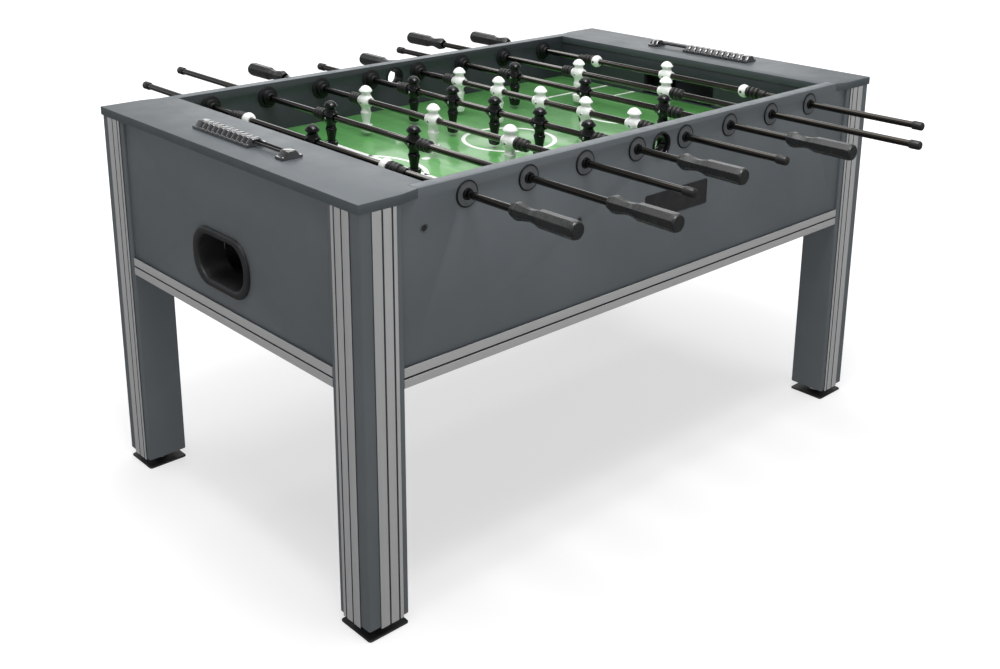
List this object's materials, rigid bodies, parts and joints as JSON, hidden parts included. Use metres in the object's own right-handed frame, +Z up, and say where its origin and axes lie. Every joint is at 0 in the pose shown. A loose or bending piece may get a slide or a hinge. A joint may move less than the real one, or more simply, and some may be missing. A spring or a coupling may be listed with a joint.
{
  "type": "foosball table",
  "caption": "Free-standing foosball table: boxed cabinet on square legs with levelling feet, sliding and spinning player rods, goals, ball returns and abacus scorers.",
  "frame": {"origin": "on the floor, under the middle of the table with its rods as drawn", "axes": "+X along the table's length, +Y across it along the rods, +Z up; rod_1 and the end seen in the foreground are at -X, the front side is at -Y"},
  "size_m": [1.39, 1.502, 0.7698],
  "materials": {
    "slate_laminate": "slate-grey satin laminate on board",
    "dark_laminate": "darker slate laminate inside the play space",
    "edge_band": "paler blue-grey plastic edge band",
    "green_playfield": "green printed field with white lines under a gloss film",
    "black_chrome": "black-chromed steel tube",
    "gloss_black_plastic": "glossy black moulded plastic",
    "gloss_white_plastic": "glossy white moulded plastic",
    "grip_plastic": "dark grey satin handle plastic",
    "matte_black_plastic": "matt black plastic",
    "black_rubber": "matt black rubber bumpers and ferrules",
    "silver_trim": "satin silver ribbed trim",
    "screw_steel": "bright plated screws and bolt heads"
  },
  "bodies": {
    "cabinet": {"front_side_panel": "slate_laminate", "back_side_panel": "slate_laminate", "left_end_panel": "slate_laminate", "left_goal_housing": "dark_laminate", "left_end_cap": "slate_laminate", "right_end_panel": "slate_laminate", "right_goal_housing": "dark_laminate", "right_end_cap": "slate_laminate", "playfield": "green_playfield", "front_left_leg": "slate_laminate", "front_right_leg": "slate_laminate", "back_left_leg": "slate_laminate", "back_right_leg": "slate_laminate", "left_scorer": "gloss_black_plastic", "right_scorer": "gloss_black_plastic"},
    "front_left_foot": {"front_left_levelling_foot": "matte_black_plastic"},
    "front_right_foot": {"front_right_levelling_foot": "matte_black_plastic"},
    "back_left_foot": {"back_left_levelling_foot": "matte_black_plastic"},
    "back_right_foot": {"back_right_levelling_foot": "matte_black_plastic"},
    "left_counters": {"left_score_counters": "gloss_black_plastic"},
    "right_counters": {"right_score_counters": "gloss_black_plastic"},
    "rod_1_slider": {"rod_1_tube": "black_chrome"},
    "rod_1_spinner": {"rod_1_handle": "grip_plastic", "rod_1_goalkeeper": "gloss_black_plastic"},
    "rod_2_slider": {"rod_2_tube": "black_chrome"},
    "rod_2_spinner": {"rod_2_handle": "grip_plastic", "rod_2_defender_1": "gloss_black_plastic", "rod_2_defender_2": "gloss_black_plastic"},
    "rod_3_slider": {"rod_3_tube": "black_chrome"},
    "rod_3_spinner": {"rod_3_handle": "grip_plastic", "rod_3_striker_1": "gloss_white_plastic", "rod_3_striker_2": "gloss_white_plastic", "rod_3_striker_3": "gloss_white_plastic"},
    "rod_4_slider": {"rod_4_tube": "black_chrome"},
    "rod_4_spinner": {"rod_4_handle": "grip_plastic", "rod_4_midfielder_1": "gloss_black_plastic", "rod_4_midfielder_2": "gloss_black_plastic", "rod_4_midfielder_3": "gloss_black_plastic", "rod_4_midfielder_4": "gloss_black_plastic", "rod_4_midfielder_5": "gloss_black_plastic"},
    "rod_5_slider": {"rod_5_tube": "black_chrome"},
    "rod_5_spinner": {"rod_5_handle": "grip_plastic", "rod_5_midfielder_1": "gloss_white_plastic", "rod_5_midfielder_2": "gloss_white_plastic", "rod_5_midfielder_3": "gloss_white_plastic", "rod_5_midfielder_4": "gloss_white_plastic", "rod_5_midfielder_5": "gloss_white_plastic"},
    "rod_6_slider": {"rod_6_tube": "black_chrome"},
    "rod_6_spinner": {"rod_6_handle": "grip_plastic", "rod_6_striker_1": "gloss_black_plastic", "rod_6_striker_2": "gloss_black_plastic", "rod_6_striker_3": "gloss_black_plastic"},
    "rod_7_slider": {"rod_7_tube": "black_chrome"},
    "rod_7_spinner": {"rod_7_handle": "grip_plastic", "rod_7_defender_1": "gloss_white_plastic", "rod_7_defender_2": "gloss_white_plastic"},
    "rod_8_slider": {"rod_8_tube": "black_chrome"},
    "rod_8_spinner": {"rod_8_handle": "grip_plastic", "rod_8_goalkeeper": "gloss_white_plastic"}
  },
  "joints": [
    {"name": "front_left_foot_height", "type": "slide", "parent": "cabinet", "child": "front_left_foot", "axis": [0, 0, 1], "range_m": [-0.02, 0.008]},
    {"name": "front_right_foot_height", "type": "slide", "parent": "cabinet", "child": "front_right_foot", "axis": [0, 0, 1], "range_m": [-0.02, 0.008]},
    {"name": "back_left_foot_height", "type": "slide", "parent": "cabinet", "child": "back_left_foot", "axis": [0, 0, 1], "range_m": [-0.02, 0.008]},
    {"name": "back_right_foot_height", "type": "slide", "parent": "cabinet", "child": "back_right_foot", "axis": [0, 0, 1], "range_m": [-0.02, 0.008]},
    {"name": "left_counters_slide", "type": "slide", "parent": "cabinet", "child": "left_counters", "axis": [0, 1, 0], "range_m": [-0.086, 0]},
    {"name": "right_counters_slide", "type": "slide", "parent": "cabinet", "child": "right_counters", "axis": [0, 1, 0], "range_m": [0, 0.086]},
    {"name": "rod_1_slide", "type": "slide", "parent": "cabinet", "child": "rod_1_slider", "axis": [0, 1, 0], "range_m": [-0.104, 0.066]},
    {"name": "rod_1_spin", "type": "hinge", "parent": "rod_1_slider", "child": "rod_1_spinner", "pos_m": [-0.476, 0, 0.726], "axis": [0, 1, 0], "continuous": true},
    {"name": "rod_2_slide", "type": "slide", "parent": "cabinet", "child": "rod_2_slider", "axis": [0, 1, 0], "range_m": [-0.21, 0.162]},
    {"name": "rod_2_spin", "type": "hinge", "parent": "rod_2_slider", "child": "rod_2_spinner", "pos_m": [-0.34, 0, 0.726], "axis": [0, 1, 0], "continuous": true},
    {"name": "rod_3_slide", "type": "slide", "parent": "cabinet", "child": "rod_3_slider", "axis": [0, 1, 0], "range_m": [-0.097, 0.095]},
    {"name": "rod_3_spin", "type": "hinge", "parent": "rod_3_slider", "child": "rod_3_spinner", "pos_m": [-0.204, 0, 0.726], "axis": [0, 1, 0], "continuous": true},
    {"name": "rod_4_slide", "type": "slide", "parent": "cabinet", "child": "rod_4_slider", "axis": [0, 1, 0], "range_m": [-0.028, 0.086]},
    {"name": "rod_4_spin", "type": "hinge", "parent": "rod_4_slider", "child": "rod_4_spinner", "pos_m": [-0.068, 0, 0.726], "axis": [0, 1, 0], "continuous": true},
    {"name": "rod_5_slide", "type": "slide", "parent": "cabinet", "child": "rod_5_slider", "axis": [0, 1, 0], "range_m": [-0.034, 0.08]},
    {"name": "rod_5_spin", "type": "hinge", "parent": "rod_5_slider", "child": "rod_5_spinner", "pos_m": [0.068, 0, 0.726], "axis": [0, 1, 0], "continuous": true},
    {"name": "rod_6_slide", "type": "slide", "parent": "cabinet", "child": "rod_6_slider", "axis": [0, 1, 0], "range_m": [-0.074, 0.118]},
    {"name": "rod_6_spin", "type": "hinge", "parent": "rod_6_slider", "child": "rod_6_spinner", "pos_m": [0.204, 0, 0.726], "axis": [0, 1, 0], "continuous": true},
    {"name": "rod_7_slide", "type": "slide", "parent": "cabinet", "child": "rod_7_slider", "axis": [0, 1, 0], "range_m": [-0.182, 0.19]},
    {"name": "rod_7_spin", "type": "hinge", "parent": "rod_7_slider", "child": "rod_7_spinner", "pos_m": [0.34, 0, 0.726], "axis": [0, 1, 0], "continuous": true},
    {"name": "rod_8_slide", "type": "slide", "parent": "cabinet", "child": "rod_8_slider", "axis": [0, 1, 0], "range_m": [-0.061, 0.109]},
    {"name": "rod_8_spin", "type": "hinge", "parent": "rod_8_slider", "child": "rod_8_spinner", "pos_m": [0.476, 0, 0.726], "axis": [0, 1, 0], "continuous": true}
  ]
}
